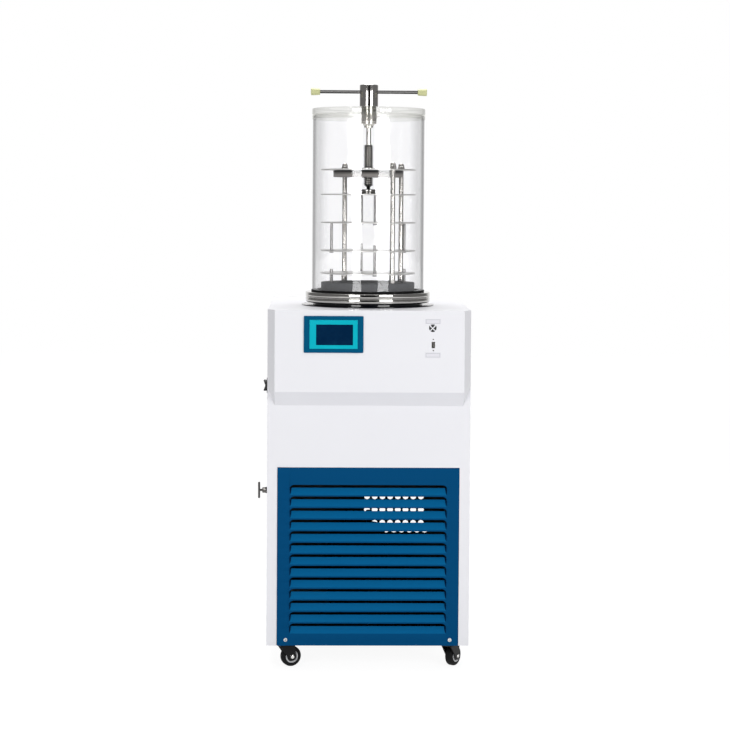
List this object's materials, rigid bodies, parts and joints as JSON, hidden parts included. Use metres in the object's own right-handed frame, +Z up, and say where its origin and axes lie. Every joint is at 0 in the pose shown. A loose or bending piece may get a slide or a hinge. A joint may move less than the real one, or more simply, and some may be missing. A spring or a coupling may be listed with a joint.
{
  "type": "laboratory freeze dryer",
  "caption": "Floor-standing freeze dryer: cabinet on casters, clear chamber over a cold trap, and a stoppering rack pressed down by a screw and handle.",
  "frame": {"origin": "on the floor, under the middle of the machine's bounding box", "axes": "+Z up, -Y towards the front with the display, +X to the user's right"},
  "size_m": [0.5146, 0.6397, 1.4329],
  "materials": {
    "white_paint": "satin powder coat",
    "blue_paint": "satin powder coat",
    "black_plastic": "matte",
    "rubber": "matte",
    "polished_steel": "polished stainless steel",
    "satin_steel": "satin machined",
    "rack_alloy": "matte grey anodised",
    "fin_aluminium": "mill finish",
    "display_blue": "satin",
    "display_glass": "glossy, lit",
    "clear_acrylic": "clear and polished",
    "silicone": "milky translucent",
    "knob_plastic": "satin",
    "wheel_tread": "matte"
  },
  "bodies": {
    "machine": {"front_panel": "white_paint", "left_side_panel": "white_paint", "right_side_panel": "white_paint", "top_panel": "white_paint", "rear_panel": "white_paint", "fascia": "white_paint", "louvre_panel": "blue_paint", "hmi_bezel": "display_blue", "hmi_screen": "display_glass", "buzzer": "black_plastic", "chamber_collar": "black_plastic", "switch_bezel": "black_plastic", "power_inlet": "black_plastic", "compressor": "black_plastic", "usb_socket": "satin_steel", "base_pan": "satin_steel", "fan_shroud": "satin_steel", "screw_block": "satin_steel", "hub_nut": "satin_steel", "drain_valve_body": "satin_steel", "cold_trap": "polished_steel", "chamber_flange": "polished_steel", "column_a": "polished_steel", "column_b": "polished_steel", "column_c": "polished_steel", "column_nut_a": "polished_steel", "column_nut_b": "polished_steel", "column_nut_c": "polished_steel", "rack_top_plate": "polished_steel", "shelf_4": "polished_steel", "hub_boss": "polished_steel", "vacuum_port": "polished_steel", "base_gasket": "rubber", "lid_gasket": "silicone", "chamber_tube": "clear_acrylic", "lid_plate": "clear_acrylic", "rack_base": "rack_alloy", "condenser": "fin_aluminium"},
    "handle": {"handle_cap": "polished_steel", "t_bar": "polished_steel", "knob_left": "knob_plastic", "knob_right": "knob_plastic", "drive_rod": "polished_steel"},
    "press_carriage": {"press_foot": "satin_steel", "shelf_1": "polished_steel", "shelf_2": "polished_steel", "shelf_3": "polished_steel"},
    "screw": {"lead_screw": "satin_steel"},
    "switch": {"switch_rocker": "black_plastic"},
    "drain_lever": {"drain_valve_handle": "satin_steel"},
    "fan": {"fan_rotor": "black_plastic"},
    "caster_front_left": {"fork_front_left": "black_plastic"},
    "roller_front_left": {"wheel_front_left": "wheel_tread"},
    "caster_front_right": {"fork_front_right": "black_plastic"},
    "roller_front_right": {"wheel_front_right": "wheel_tread"},
    "caster_rear_left": {"fork_rear_left": "black_plastic"},
    "roller_rear_left": {"wheel_rear_left": "wheel_tread"},
    "caster_rear_right": {"fork_rear_right": "black_plastic"},
    "roller_rear_right": {"wheel_rear_right": "wheel_tread"}
  },
  "joints": [
    {"name": "handle_turn", "type": "hinge", "parent": "machine", "child": "handle", "pos_m": [0.0123, -0.068, 1.4], "axis": [0, 0, 1], "range_deg": [-2880, 864]},
    {"name": "press_travel", "type": "slide", "parent": "machine", "child": "press_carriage", "axis": [0, 0, 1], "range_m": [-0.04, 0.012]},
    {"name": "screw_turn", "type": "hinge", "parent": "press_carriage", "child": "screw", "pos_m": [0.0123, -0.068, 1.2], "axis": [0, 0, 1], "range_deg": [-2880, 864]},
    {"name": "switch_rock", "type": "hinge", "parent": "machine", "child": "switch", "pos_m": [-0.2297, -0.22, 0.692], "axis": [0, 1, 0], "range_deg": [-8, 8]},
    {"name": "drain_turn", "type": "hinge", "parent": "machine", "child": "drain_lever", "pos_m": [-0.2427, -0.19, 0.4303], "axis": [1, 0, 0], "range_deg": [0, 90]},
    {"name": "fan_spin", "type": "hinge", "parent": "machine", "child": "fan", "pos_m": [0.1123, -0.155, 0.158], "axis": [0, 1, 0], "continuous": true},
    {"name": "swivel_front_left", "type": "hinge", "parent": "machine", "child": "caster_front_left", "pos_m": [-0.1907, -0.218, 0.05], "axis": [0, 0, 1], "continuous": true},
    {"name": "roll_front_left", "type": "hinge", "parent": "caster_front_left", "child": "roller_front_left", "pos_m": [-0.17473, -0.21219, 0.025], "axis": [-0.342, 0.9397, 0], "continuous": true},
    {"name": "swivel_front_right", "type": "hinge", "parent": "machine", "child": "caster_front_right", "pos_m": [0.2153, -0.218, 0.05], "axis": [0, 0, 1], "continuous": true},
    {"name": "roll_front_right", "type": "hinge", "parent": "caster_front_right", "child": "roller_front_right", "pos_m": [0.22505, -0.20407, 0.025], "axis": [-0.8192, 0.5736, 0], "continuous": true},
    {"name": "swivel_rear_left", "type": "hinge", "parent": "machine", "child": "caster_rear_left", "pos_m": [-0.1907, 0.233, 0.05], "axis": [0, 0, 1], "continuous": true},
    {"name": "roll_rear_left", "type": "hinge", "parent": "caster_rear_left", "child": "roller_rear_left", "pos_m": [-0.17598, 0.2245, 0.025], "axis": [0.5, 0.866, 0], "continuous": true},
    {"name": "swivel_rear_right", "type": "hinge", "parent": "machine", "child": "caster_rear_right", "pos_m": [0.2153, 0.233, 0.05], "axis": [0, 0, 1], "continuous": true},
    {"name": "roll_rear_right", "type": "hinge", "parent": "caster_rear_right", "child": "roller_rear_right", "pos_m": [0.20058, 0.2415, 0.025], "axis": [-0.5, -0.866, 0], "continuous": true}
  ],
  "couplings": [
    {"joint": "press_travel", "follows": "handle_turn", "m_per_rad": 0.00079577},
    {"joint": "screw_turn", "follows": "handle_turn", "ratio": 1}
  ]
}
